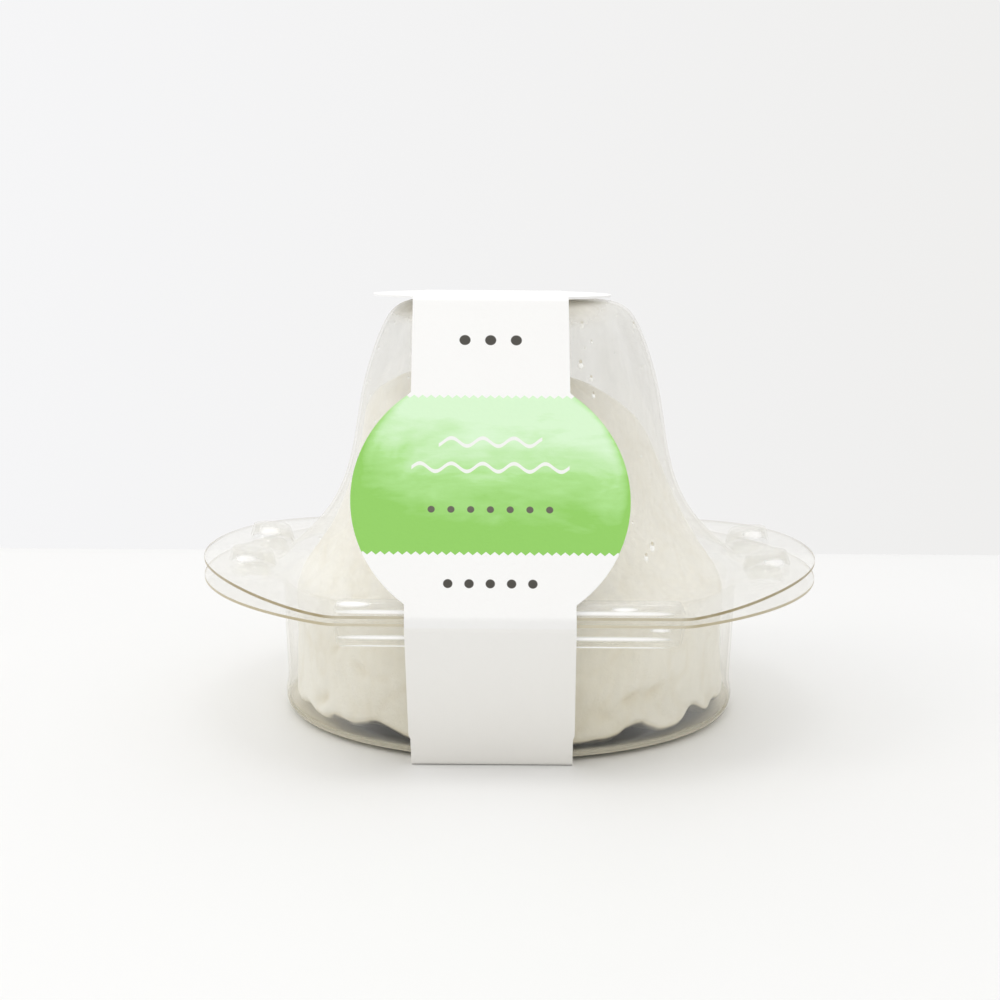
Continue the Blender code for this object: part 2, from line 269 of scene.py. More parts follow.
class SleeveSettings(bpy.types.PropertyGroup):
    thickness: bpy.props.FloatProperty(
        name="Thickness", description="Thickness of the card",
        default=0.0004, min=0.0001, max=0.002, unit="LENGTH")
    card: bpy.props.FloatVectorProperty(
        name="Card", description="Colour of the coated card",
        default=(0.975, 0.975, 0.97), subtype="COLOR", size=3, min=0.0, max=1.0)
    green: bpy.props.FloatVectorProperty(
        name="Green", description="Colour of the medallion's field",
        default=(0.295, 0.65, 0.12), subtype="COLOR", size=3, min=0.0, max=1.0)
    pale_green: bpy.props.FloatVectorProperty(
        name="Pale green", description="Colour of the field at its top",
        default=(0.72, 0.97, 0.66), subtype="COLOR", size=3, min=0.0, max=1.0)


class StageSettings(bpy.types.PropertyGroup):
    table_back: bpy.props.FloatProperty(
        name="Table back", description="Distance of the table's back edge",
        default=0.162, min=0.1, max=1.0, unit="LENGTH")
    key: bpy.props.FloatProperty(
        name="Key light", description="Power of the soft light from the left, in watts",
        default=0.9, min=0.0, max=50.0)
    top: bpy.props.FloatProperty(
        name="Top light", description="Power of the soft light overhead, in watts",
        default=1.0, min=0.0, max=50.0)
    sky: bpy.props.FloatProperty(
        name="Surround", description="Strength of the pale surround",
        default=1.0, min=0.0, max=4.0)


class Wire:
    """One output in a finish. Python's operators on it add Math nodes."""

    def __init__(self, finish, socket):
        self.finish = finish
        self.socket = socket

    def maths(self, operation, first, second=None):
        values = {0: first}
        if second is not None:
            values[1] = second
        return self.finish.node("ShaderNodeMath", {"operation": operation}, values)

    def __add__(self, other):
        return self.maths("ADD", self, other)

    def __radd__(self, other):
        return self.maths("ADD", other, self)

    def __sub__(self, other):
        return self.maths("SUBTRACT", self, other)

    def __rsub__(self, other):
        return self.maths("SUBTRACT", other, self)

    def __mul__(self, other):
        return self.maths("MULTIPLY", self, other)

    def __rmul__(self, other):
        return self.maths("MULTIPLY", other, self)

    def __truediv__(self, other):
        return self.maths("DIVIDE", self, other)

    def __rtruediv__(self, other):
        return self.maths("DIVIDE", other, self)

    def __pow__(self, other):
        return self.maths("POWER", self, other)

    def __abs__(self):
        return self.maths("ABSOLUTE", self)

    def least(self, other):
        return self.maths("MINIMUM", self, other)

    def most(self, other):
        return self.maths("MAXIMUM", self, other)

    def folded(self, step):
        return self.maths("PINGPONG", self, step)

    def held(self):
        """Held between 0 and 1."""
        return self.most(0.0).least(1.0)

    def rises(self, start, end):
        """0 below start, 1 above end, and straight between them."""
        return ((self - start) / (end - start)).held()


class Finish:
    """A node-based material, or the world's nodes."""

    def __init__(self, owner, kind="ShaderNodeOutputMaterial"):
        self.owner = owner
        owner.use_nodes = True
        self.tree = owner.node_tree
        self.tree.nodes.clear()
        self.output = self.tree.nodes.new(kind)

    def node(self, kind, settings=None, sockets=None, out=0):
        """Adds a node, sets its settings first and then its sockets, and gives one output."""
        node = self.tree.nodes.new(kind)
        for name, value in (settings or {}).items():
            if name == "stops":
                ramp = node.color_ramp
                while len(ramp.elements) < len(value):
                    ramp.elements.new(0.5)
                for element, (place, colour) in zip(ramp.elements, value):
                    element.position = place
                    element.color = colour
            else:
                setattr(node, name, value)
        for key, value in (sockets or {}).items():
            if isinstance(value, Wire):
                self.tree.links.new(value.socket, node.inputs[key])
            else:
                node.inputs[key].default_value = value
        return Wire(self, node.outputs[out])

    def place(self, scale=(1.0, 1.0, 1.0), turn=(0.0, 0.0, 0.0)):
        """The piece's own coordinates in metres, stretched and turned."""
        here = self.node("ShaderNodeTexCoord", out=3)
        if scale == (1.0, 1.0, 1.0) and turn == (0.0, 0.0, 0.0):
            return here
        return self.node("ShaderNodeMapping", None, {"Vector": here, "Scale": scale, "Rotation": turn})

    def axes(self):
        """The piece's own x, y and z in millimetres."""
        split = self.node("ShaderNodeSeparateXYZ", None, {0: self.place()})
        return [Wire(self, socket) * 1000.0 for socket in split.socket.node.outputs]

    def clear(self, tint):
        return self.node("ShaderNodeBsdfTransparent", None, {"Color": colour(tint)})

    def noise(self, vector, scale, detail=2.0, roughness=0.5, distortion=0.0):
        sockets = {"Vector": vector, "Scale": scale, "Detail": detail}
        sockets.update({"Roughness": roughness, "Distortion": distortion})
        return self.node("ShaderNodeTexNoise", None, sockets)

    def mix(self, factor, first, second, blend="MIX"):
        """Mixes two colours."""
        settings = {"data_type": "RGBA", "blend_type": blend, "clamp_factor": True}
        return self.node("ShaderNodeMix", settings, {0: factor, 6: first, 7: second}, out=2)

    def bump(self, height, distance, strength=1.0):
        sockets = {"Height": height, "Distance": distance, "Strength": strength}
        return self.node("ShaderNodeBump", None, sockets)

    def skin(self, **sockets):
        """A Principled shader. Underscores stand for the spaces in its sockets' names."""
        named = {name.replace("_", " "): value for name, value in sockets.items()}
        return self.node("ShaderNodeBsdfPrincipled", None, named)

    def blend(self, factor, first, second):
        """Mixes two shaders."""
        return self.node("ShaderNodeMixShader", None, {0: factor, 1: first, 2: second})

    def finish(self, shader):
        self.tree.links.new(shader.socket, self.output.inputs["Surface"])
        return self.owner


def colour(value):
    """A colour of three numbers as the four that a colour socket takes."""
    return (value[0], value[1], value[2], 1.0)


def smooth_step(value):
    value = min(max(value, 0.0), 1.0)
    return value * value * (3.0 - 2.0 * value)


def squeeze(z):
    """Share that is left of the depth from front to back at a height."""
    return 1.0 - SQUEEZE * (1.0 - smooth_step((z - SQUEEZE_FROM) / (SQUEEZE_TO - SQUEEZE_FROM)))


def curve_point(points, share):
    """A point on a centripetal curve through four points, share of the way between the middle two."""
    knots = [0.0]
    for first, second in zip(points, points[1:]):
        knots.append(knots[-1] + max((second - first).length, 1e-6) ** 0.5)
    here = knots[1] + (knots[2] - knots[1]) * share
    spans = ((0, 1), (1, 2), (2, 3)), ((0, 2), (1, 3)), ((1, 2),)
    level = list(points)
    for row in spans:
        merged = []
        for index, (low, high) in enumerate(row):
            reach = (here - knots[low]) / (knots[high] - knots[low])
            merged.append(level[index].lerp(level[index + 1], reach))
        level = merged
    return level[0]


def smooth_path(points, spacing):
    """Points about spacing apart on a smooth curve through the given ones."""
    points = [Vector(point) for point in points]
    first = points[0] * 2 - points[1]
    last = points[-1] * 2 - points[-2]
    points = [first] + points + [last]
    path = []
    for four in zip(points, points[1:], points[2:], points[3:]):
        steps = max(1, round((four[2] - four[1]).length / spacing))
        for step in range(steps):
            path.append(curve_point(four, step / steps))
    path.append(points[-2])
    return path


def spin_profile(profile, steps):
    """A surface spun about Z from points of radius and height in millimetres."""
    mesh = bmesh.new()
    verts = []
    for radius, z in profile:
        verts.append(mesh.verts.new((max(radius, 0.0) * MM, 0.0, z * MM)))
    edges = [mesh.edges.new(pair) for pair in zip(verts, verts[1:])]
    bmesh.ops.spin(
        mesh, geom=verts + edges, cent=(0, 0, 0), axis=(0, 0, 1),
        angle=2 * math.pi, steps=steps, use_merge=True)
    bmesh.ops.remove_doubles(mesh, verts=mesh.verts, dist=1e-6)
    bmesh.ops.recalc_face_normals(mesh, faces=mesh.faces)
    return mesh


def face_up(mesh, upward):
    """Turns the faces so that the one nearest the middle faces up, or down."""
    mesh.faces.ensure_lookup_table()
    middle = min(mesh.faces, key=lambda face: face.calc_center_median().xy.length)
    if (middle.normal.z > 0) != upward:
        bmesh.ops.reverse_faces(mesh, faces=mesh.faces)


def make_piece(mesh, name, node, materials):
    """Turns a mesh into a smooth piece that rides on the pack and stands for its node."""
    for face in mesh.faces:
        face.smooth = True
    data = bpy.data.meshes.new(name)
    mesh.to_mesh(data)
    mesh.free()
    for material in materials:
        data.materials.append(material)
    piece = bpy.data.objects.new(name, data)
    bpy.context.scene.collection.objects.link(piece)
    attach(piece, "root")
    if node:
        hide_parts(node)
    return piece


def thicken(piece, thickness, inside=0, rim=1):
    """Gives a surface its thickness on the inside, with its own finish on the cut edge."""
    wall = piece.modifiers.new("Thickness", "SOLIDIFY")
    wall.thickness = thickness
    wall.offset = -1.0
    wall.use_even_offset = False
    wall.use_quality_normals = True
    wall.material_offset = inside
    wall.material_offset_rim = rim
    held = piece.evaluated_get(bpy.context.evaluated_depsgraph_get())
    mesh = bmesh.new()
    mesh.from_mesh(held.to_mesh())
    held.to_mesh_clear()
    piece.modifiers.clear()
    for edge in mesh.edges:
        edge.smooth = edge.calc_face_angle(0.0) < math.radians(50)
    mesh.to_mesh(piece.data)
    mesh.free()


def cut_along(mesh, point, normal, wanted):
    """Cuts the faces whose middle is wanted along a plane, so an edge runs there."""
    faces = [face for face in mesh.faces if wanted(face.calc_center_median() / MM)]
    edges = dict.fromkeys(edge for face in faces for edge in face.edges)
    verts = dict.fromkeys(vert for face in faces for vert in face.verts)
    bmesh.ops.bisect_plane(
        mesh, geom=list(verts) + list(edges) + faces, dist=1e-7,
        plane_co=Vector(point) * MM, plane_no=normal)


def flange_reach(turn):
    """Distance of the flange's edge: a circle cut flat at front and back, corners rounded."""
    flat = FLANGE_FLAT / max(abs(math.sin(turn)), 0.01)
    soft = 0.9
    share = min(max(0.5 + 0.5 * (flat - FLANGE_R) / soft, 0.0), 1.0)
    return flat + (FLANGE_R - flat) * share - soft * share * (1.0 - share)


def button_height(x, y, radius, rise):
    away = math.hypot(abs(x) - BUTTON_X, abs(y) - BUTTON_Y)
    share = min(max((radius - away) / BUTTON_SIDE, 0.0), 1.0)
    return rise * math.sin(share * math.pi / 2)


def rib_height(x, y, rise):
    dx = abs(x) - (RIB_HALF - RIB_CORNER)
    dy = abs(abs(y) - (RIB_IN + RIB_OUT) / 2) - ((RIB_OUT - RIB_IN) / 2 - RIB_CORNER)
    outside = math.hypot(max(dx, 0.0), max(dy, 0.0))
    inside = min(max(dx, dy), 0.0)
    share = min(max((RIB_CORNER - outside - inside) / RIB_SIDE, 0.0), 1.0)
    return rise * math.sin(share * math.pi / 2)


def shape_flange(mesh, root, button_radius, height):
    """Brings the spun ring outside root to the flange's outline, ribs, buttons and heights."""
    for vert in mesh.verts:
        reach = vert.co.xy.length / MM
        if reach > root + 0.01:
            turn = math.atan2(vert.co.y, vert.co.x)
            share = (reach - root) / (FLANGE_R - root)
            reach = root + (flange_reach(turn) - root) * share
            vert.co.x = reach * math.cos(turn) * MM
            vert.co.y = reach * math.sin(turn) * MM

    def off_wall(place):
        return place.xy.length > root

    for side in (-1, 1):
        for y in (RIB_IN, 46.5, 46.8, 47.2, 49.9, 50.3, 50.6, RIB_OUT):
            cut_along(mesh, (0, side * y, 0), (0, 1, 0),
                      lambda place: off_wall(place) and abs(place.x) < 32 and place.y * side > 44)
        for x in (28.6, 28.9, 29.1, 29.35, 29.6, 29.8, RIB_HALF):
            cut_along(mesh, (side * x, 0, 0), (1, 0, 0),
                      lambda place: off_wall(place) and 27 < place.x * side < 32 and abs(place.y) > 44)
    near = {}
    for face in mesh.faces:
        place = face.calc_center_median() / MM
        away = math.hypot(abs(place.x) - BUTTON_X, abs(place.y) - BUTTON_Y)
        if away < button_radius + 0.8 and off_wall(place):
            near.update(dict.fromkeys(face.edges))
    bmesh.ops.subdivide_edges(mesh, edges=list(near), cuts=2, use_grid_fill=True)
    for vert in mesh.verts:
        x = vert.co.x / MM
        y = vert.co.y / MM
        if math.hypot(x, y) > root + 0.01:
            vert.co.z = height(x, y) * MM


def tray_height(x, y):
    button = button_height(x, y, TRAY_BUTTON_R, TRAY_BUTTON_H)
    return TRAY_FLANGE_Z + button + rib_height(x, y, -TRAY_RIB_DEPTH)


def lid_height(x, y):
    reach = math.hypot(x, y)
    share = min(max((reach - LID_ROOT[0]) / (LID_SETTLE_R - LID_ROOT[0]), 0.0), 1.0)
    flare = (LID_ROOT[1] - LID_FLANGE_Z) * (1.0 - share) ** 2
    bend = smooth_step((abs(x) - LOBE_FOLD_X) / (LOBE_TIP_X - LOBE_FOLD_X))
    lift = LOBE_LIFT * bend * smooth_step((reach - LID_ROOT[0] + 0.6) / 4.5)
    button = button_height(x, y, LID_BUTTON_R, LID_BUTTON_H)
    return LID_FLANGE_Z + flare + lift + button + rib_height(x, y, LID_RIB_HEIGHT)


def cheese_lumps(turn, z):
    value = 0.0
    waves = (
        (3, 0.07, 0.4, 0.34),
        (5, 0.16, 1.7, 0.30),
        (8, -0.22, 2.9, 0.24),
        (11, 0.31, 0.8, 0.20),
        (14, -0.12, 4.1, 0.14),
    )
    for around, up, shift, size in waves:
        value += size * math.sin(around * turn + up * z + shift + 0.6 * math.sin(2 * turn + shift))
    return 0.5 * (value - 0.9)


def foot_lift(turn):
    degrees = math.degrees(math.atan2(math.cos(turn), -math.sin(turn)))
    lift = 0.4
    for middle, half_width, size in FOOT_HOLLOWS:
        away = abs((degrees - middle + 180.0) % 360.0 - 180.0)
        if away < half_width:
            lift += size * math.cos(math.pi / 2 * away / half_width) ** 2
    return lift


def fold_depth(place):
    """Depth of the rind's folds at a place in millimetres, from 0 on a fold to 1 between."""
    warp = noise.noise_vector(place / 11.0) * 3.0
    broad = 0.5 - 0.5 * noise.noise((place + warp) / 7.5)
    crease = max(0.0, 1.0 - abs(noise.noise((place - warp) / Vector((6.5, 6.5, 4.2)).length * 1.6)) / 0.22)
    return min(max(0.55 * broad + 0.45 * crease ** 1.5, 0.0), 1.0)


def pit_depth(place):
    """Depth of the pits at a place, in millimetres."""
    depth = 0.0
    for middle, along, across, tilt, size in PITS:
        away = place - Vector(middle)
        if away.length > 8.0:
            continue
        side = Vector((-middle[1], middle[0], 0.0)).normalized()
        lean = math.radians(tilt)
        first = away.dot(side) * math.cos(lean) + away.z * math.sin(lean)
        second = away.z * math.cos(lean) - away.dot(side) * math.sin(lean)
        depth += size * math.exp(-((first / along) ** 2) - (second / across) ** 2)
    return depth


def rind_material(settings):
    finish = Finish(bpy.data.materials.new("rind"))
    here = finish.place()
    deep = finish.node("ShaderNodeAttribute", {"attribute_name": "hollow"}, out=2)
    x, y, z = finish.axes()
    # Painted shade, warm-toned: darker near the card, whose shadow falls there, and low on the right, away from
    # the key light
    by_card = 1.0 - abs(x - SLEEVE_X).rises(BAND_HALF, 36.0)
    to_right = x.rises(-16.0, 30.0)
    low = 1.0 - z.rises(6.0, 40.0)
    card_and_side_shade = by_card * (0.45 + low * 0.35) + to_right * low * 0.35
    clouds = finish.noise(here, 90.0, 3.0, 0.55)
    specks = finish.noise(here, 900.0, 2.0, 0.6)
    fine = finish.noise(here, 2600.0, 2.0, 0.6)
    grain = finish.noise(here, 420.0, 4.0, 0.6, 0.4)
    # Painted shade: the rind goes towards the shade colour in its folds, pits and under its foot, with some
    # random grain
    shade = (deep * 1.4 + (grain - 0.5) * 0.5).held()
    base = finish.mix(shade, colour(settings.rind), colour(settings.hollow))
    base = finish.mix(card_and_side_shade.held() * 0.5, base, (0.72, 0.655, 0.475, 1.0))
    base = finish.mix(clouds.rises(0.42, 0.7) * 0.3, base, (0.80, 0.74, 0.58, 1.0))
    base = finish.mix(specks.rises(0.62, 0.75) * 0.2, base, (0.88, 0.87, 0.82, 1.0))
    # Painted shade, near black, under the foot's lower edge
    base = finish.mix(deep.rises(0.55, 1.0), base, (0.07, 0.065, 0.04, 1.0))
    rough = 0.5 + clouds * 0.2
    relief = grain * 0.6 + specks * 0.3 + fine * 0.12
    # The rind glows a little in its own colour: painted light for the light that passes through it
    shader = finish.skin(
        Base_Color=base, Roughness=rough, Normal=finish.bump(relief, 0.0005, 0.8),
        Emission_Color=base, Emission_Strength=0.06)
    return finish.finish(shader)


def sheet_material(name, settings, haze, fog, glints, floor):
    """Clear formed sheet: mostly see-through, glossy and misted, with painted shade where it is seen edge-on
    and under the top disc, and painted highlights in its bends.
    """
    finish = Finish(bpy.data.materials.new(name))
    here = finish.place()
    x, y, z = finish.axes()
    waves = finish.noise(here, 60.0, 1.0, 0.4)
    normal = finish.bump(waves, 0.0015, 0.3)
    gloss = finish.node(
        "ShaderNodeBsdfGlossy", None,
        {"Color": (1.0, 1.0, 1.0, 1.0), "Roughness": 0.05, "Normal": normal})
    mirror = finish.node("ShaderNodeFresnel", None, {"IOR": 1.45, "Normal": normal})
    facing = finish.node("ShaderNodeLayerWeight", None, {"Blend": 0.5}, out=1)
    sheet = finish.blend((mirror * 0.75).least(0.16), finish.clear(settings.clear), gloss)
    # Painted shade: a tan skin where the sheet is seen edge-on, and a painted shadow of the top disc on the
    # lid's crown beside the card
    painted_shade_veil = finish.skin(Base_Color=(0.76, 0.72, 0.61, 1.0), Roughness=0.4)
    disc_shadow = z.rises(75.5, 79.0) * (1.0 - abs(x - SLEEVE_X).rises(16.0, 23.0)) * 0.4
    sheet = finish.blend((facing ** 7.0) * 0.16 + disc_shadow, sheet, painted_shade_veil)
    streaks = finish.noise(finish.place((220.0, 220.0, 40.0), (0.0, 0.6, 0.0)), 1.0, 3.0, 0.6)
    mist = finish.skin(Base_Color=colour(fog), Roughness=0.6)
    fogged = (streaks.rises(0.3, 0.85) * haze + haze * 0.35) * (0.25 + z.rises(3.0, 9.0) * 0.75)
    sheet = finish.blend(fogged, sheet, mist)
    if floor:
        # A cream film on the tray's foot: whey, with painted light of the cheese seen through the foot; near
        # black painted shade in the ring under the cheese's edge, weak on the left
        shade_under_cheese = 1.0 - ((x ** 2.0 + y ** 2.0) ** 0.5).rises(37.0, 41.2)
        dark = shade_under_cheese * (0.1 + x.rises(-38.0, -22.0) * 0.9)
        patches = finish.noise(here, 130.0, 2.0, 0.5)
        tone = finish.mix(dark, (0.92, 0.875, 0.73, 1.0), (0.055, 0.05, 0.018, 1.0))
        whey_light_and_shade = finish.skin(Base_Color=tone, Roughness=0.35)
        sheet = finish.blend((1.0 - z.rises(0.9, 2.6)) * (0.7 + patches * 0.2), sheet, whey_light_and_shade)
    # Painted highlights: a white skin that glows a little, at each glint
    light = 0.0
    for middle, halves in glints:
        sizes = [abs(wire - place) / half for wire, place, half in zip((x, y, z), middle, halves)]
        away = sizes[0] ** (2.0 if halves[0] < 10.0 else 12.0) + sizes[1] ** 2.0 + sizes[2] ** 2.0
        light = (1.0 - away.rises(0.05, 1.0)) + light
    catch = finish.skin(
        Base_Color=(1.0, 1.0, 1.0, 1.0), Roughness=0.2,
        Emission_Color=(1.0, 1.0, 1.0, 1.0), Emission_Strength=0.12)
    return finish.finish(finish.blend(light.held() * 0.9, sheet, catch))


def edge_material(name, base):
    """The sheet's cut edge: tan where light is caught in it, paler along the latch ribs."""
    finish = Finish(bpy.data.materials.new(name))
    x, y, z = finish.axes()
    spots = finish.noise(finish.place(), 240.0, 2.0)
    # Painted light: the tan stands in for light carried along the clear sheet to its cut edge, paler along the
    # latch ribs
    tone = finish.mix(spots.rises(0.35, 0.75) * 0.35, colour(base), (0.66, 0.60, 0.46, 1.0))
    tone = finish.mix((1.0 - abs(x).rises(29.0, 32.0)) * 0.5, tone, (0.80, 0.76, 0.64, 1.0))
    skin = finish.skin(Base_Color=tone, Roughness=0.25 + spots * 0.1)
    shown = 1.0 - y.rises(-16.0, 14.0) * 0.8
    return finish.finish(finish.blend(shown, finish.clear((0.97, 0.97, 0.96)), skin))


def drop_material(name, body, shown):
    """A drop's light or shaded side, clear towards its middle."""
    finish = Finish(bpy.data.materials.new(name))
    facing = finish.node("ShaderNodeLayerWeight", None, {"Blend": 0.5}, out=1)
    skin = finish.skin(
        Base_Color=colour(body), Roughness=0.12, Coat_Weight=0.5,
        Emission_Color=colour(body), Emission_Strength=0.2)
    return finish.finish(finish.blend(shown - facing * 0.3, finish.clear((0.98, 0.98, 0.98)), skin))


def card_print(finish, base, settings):
    """The printed outside: a green field with pinked edges, and plain shapes."""
    side, depth, z = finish.axes()
    x = side - (SLEEVE_X - SLEEVE_LEAN * (z / SLEEVE_TOP - 0.5))
    down = (SLEEVE_TOP - z) * PANEL_SLOPE
    front = (0.0 - depth).rises(22.6, 22.7) * z.rises(29.6, 29.7)

    pinks = x.folded(PINK_STEP / 2) * (PINK_DEPTH / (PINK_STEP / 2))
    field = (down - pinks).rises(PRINT_TOP - 0.36, PRINT_TOP - 0.26)
    field = field * (1.0 - (down + pinks).rises(PRINT_BOTTOM + 0.26, PRINT_BOTTOM + 0.36)) * front
    streaks = finish.noise(finish.place((130.0, 130.0, 520.0)), 1.0, 4.0, 0.6)
    rim = ((x ** 2.0 + (down - MEDALLION_FROM_CROWN) ** 2.0) ** 0.5).rises(22.2, MEDALLION_R)
    blots = finish.noise(finish.place((60.0, 60.0, 150.0)), 1.0, 3.0, 0.6, 0.8)
    fade = (down - 25.3 - x * 0.08) / 19.0 + (streaks - 0.5) * 0.5 + (blots - 0.5) * 0.9 + rim * rim * 0.6
    fade = fade + (0.0 - x).rises(14.0, 24.0) * down.rises(25.0, 33.0) * 0.28
    pale = finish.mix(fade.rises(0.0, 0.5), colour(settings.pale_green), (0.45, 0.81, 0.29, 1.0))
    green = finish.mix(fade.rises(0.45, 0.95), pale, colour(settings.green))

    def shape(shown, over, ink):
        return finish.mix(shown, over, ink)

    def wave(middle, half_length):
        swing = finish.node("ShaderNodeMath", {"operation": "SINE"}, {0: x * 1.15})
        away = abs(down - middle - swing * 0.75)
        return 1.0 - away.rises(0.3, 0.4).most(abs(x).rises(half_length, half_length + 0.1))

    def dots(middle, step, half_length, radius):
        away = (x.folded(step) ** 2.0 + (down - middle) ** 2.0) ** 0.5
        return 1.0 - away.rises(radius - 0.05, radius + 0.05).most(abs(x).rises(half_length, half_length + 0.1))

    white = (0.93, 0.95, 0.91, 1.0)
    ink = (0.06, 0.055, 0.045, 1.0)
    green = shape(wave(28.4, 9.0), green, white)
    green = shape(wave(33.2, 13.7), green, white)
    green = shape(dots(41.0, 1.7, 12.7, 0.62), green, (0.13, 0.12, 0.09, 1.0))
    base = shape(field, base, green)
    base = shape(dots(8.6, 2.3, 5.8, 1.0) * front, base, ink)
    base = shape(dots(54.4, 1.8, 8.6, 0.8) * front, base, ink)
    return base, field


def card_material(name, settings, printed):
    """Coated white card; its outside carries the print."""
    finish = Finish(bpy.data.materials.new(name))
    here = finish.place()
    fibres = finish.noise(here, 1500.0, 3.0, 0.6)
    clouds = finish.noise(here, 55.0, 2.0)
    base = finish.mix(clouds.rises(0.35, 0.8) * 0.15, colour(settings.card), (0.90, 0.895, 0.88, 1.0))
    x, y, z = finish.axes()
    # Painted shade: the card darker and warmer towards its foot and below the low fold, where it faces down,
    # away from the light
    base = finish.mix((1.0 - z.rises(1.0, 27.0)) * 0.35 + (1.0 - z.rises(26.9, 27.3)) * 0.4, base, (0.90, 0.88, 0.83, 1.0))
    rough = 0.34 + fibres * 0.12
    if printed:
        base, field = card_print(finish, base, settings)
        rough = rough - field * 0.16
    normal = finish.bump(fibres + clouds * 0.6, 0.00008, 0.5)
    return finish.finish(finish.skin(Base_Color=base, Roughness=rough, Normal=normal))


class CHEESE_OT_stage(bpy.types.Operator):
    """Lays the pale table, and sets the surround, the soft light and the camera"""
    bl_idname = "cheese.stage"
    bl_label = "Stage"

    def execute(self, context):
        settings = context.scene.cheese_stage
        self.table(settings)
        self.surround(context.scene, settings)
        self.lamp("key", (-0.62, -0.22, 0.62), 0.42, settings.key)
        self.lamp("top", (0.0, -0.05, 0.95), 0.34, settings.top)
        self.camera(context.scene)
        return {"FINISHED"}

    def lamp(self, name, place, size, power):
        data = bpy.data.lights.new(name, "AREA")
        data.shape = "DISK"
        data.size = size
        data.energy = power
        data.color = (1.0, 0.99, 0.97)
        lamp = bpy.data.objects.new(name, data)
        lamp.location = place
        lamp.rotation_mode = "QUATERNION"
        lamp.rotation_quaternion = (Vector((0, 0, 0.03)) - lamp.location).to_track_quat("-Z", "Y")
        bpy.context.scene.collection.objects.link(lamp)

    def table(self, settings):
        mesh = bmesh.new()
        bmesh.ops.create_cube(mesh, size=1.0)
        depth = settings.table_back + 1.0
        bmesh.ops.scale(mesh, vec=(2.4, depth, 0.04), verts=mesh.verts)
        bmesh.ops.translate(mesh, vec=(0.0, settings.table_back - depth / 2, -0.02), verts=mesh.verts)
        back = [
            edge for edge in mesh.edges
            if all(v.co.z > -0.001 and v.co.y > settings.table_back - 0.001 for v in edge.verts)]
        bmesh.ops.bevel(
            mesh, geom=back, offset=0.006, affect="EDGES", segments=8, profile=0.5, material=-1)
        data = bpy.data.meshes.new("table")
        mesh.to_mesh(data)
        mesh.free()
        finish = Finish(bpy.data.materials.new("table"))
        here = finish.place()
        clouds = finish.noise(here, 6.0, 3.0)
        base = finish.mix(clouds, (0.88, 0.88, 0.88, 1.0), (0.85, 0.85, 0.845, 1.0))
        split = finish.node("ShaderNodeSeparateXYZ", None, {0: here}, out=1)
        back = split.rises(settings.table_back - 0.014, settings.table_back)
        base = finish.mix(back * 0.6, base, (0.80, 0.80, 0.80, 1.0))
        data.materials.append(finish.finish(finish.skin(Base_Color=base, Roughness=0.6)))
        table = bpy.data.objects.new("table", data)
        bpy.context.scene.collection.objects.link(table)

    def surround(self, scene, settings):
        world = bpy.data.worlds.new("surround")
        scene.world = world
        finish = Finish(world, "ShaderNodeOutputWorld")
        way = finish.node("ShaderNodeTexCoord", out=0)
        split = finish.node("ShaderNodeSeparateXYZ", None, {0: way})
        side = Wire(finish, split.socket.node.outputs[0])
        ahead = Wire(finish, split.socket.node.outputs[1])
        up = Wire(finish, split.socket.node.outputs[2])
        back = finish.mix(side.rises(-0.35, 0.35), (0.925, 0.925, 0.935, 1.0), (0.86, 0.855, 0.845, 1.0))
        level = finish.mix(ahead.rises(-0.25, 0.35), (0.64, 0.63, 0.61, 1.0), back)
        tone = finish.mix(up.rises(0.35, 0.8), level, (1.05, 1.05, 1.05, 1.0))
        glow = finish.node("ShaderNodeBackground", None, {"Color": tone, "Strength": settings.sky})
        finish.finish(glow)

    def camera(self, scene):
        data = bpy.data.cameras.new("camera")
        data.sensor_width = 36.0
        data.lens = 58.2
        data.shift_x = -0.01
        data.clip_start = 0.01
        camera = bpy.data.objects.new("camera", data)
        tilt = Matrix.Rotation(math.radians(80.91), 4, "X")
        roll = Matrix.Rotation(math.radians(0.42), 4, "Z")
        camera.matrix_world = Matrix.Translation((0.0, -0.3172, 0.09136)) @ tilt @ roll
        scene.collection.objects.link(camera)
        scene.camera = camera
        scene.view_settings.view_transform = "Standard"
        scene.cycles.transparent_max_bounces = 28


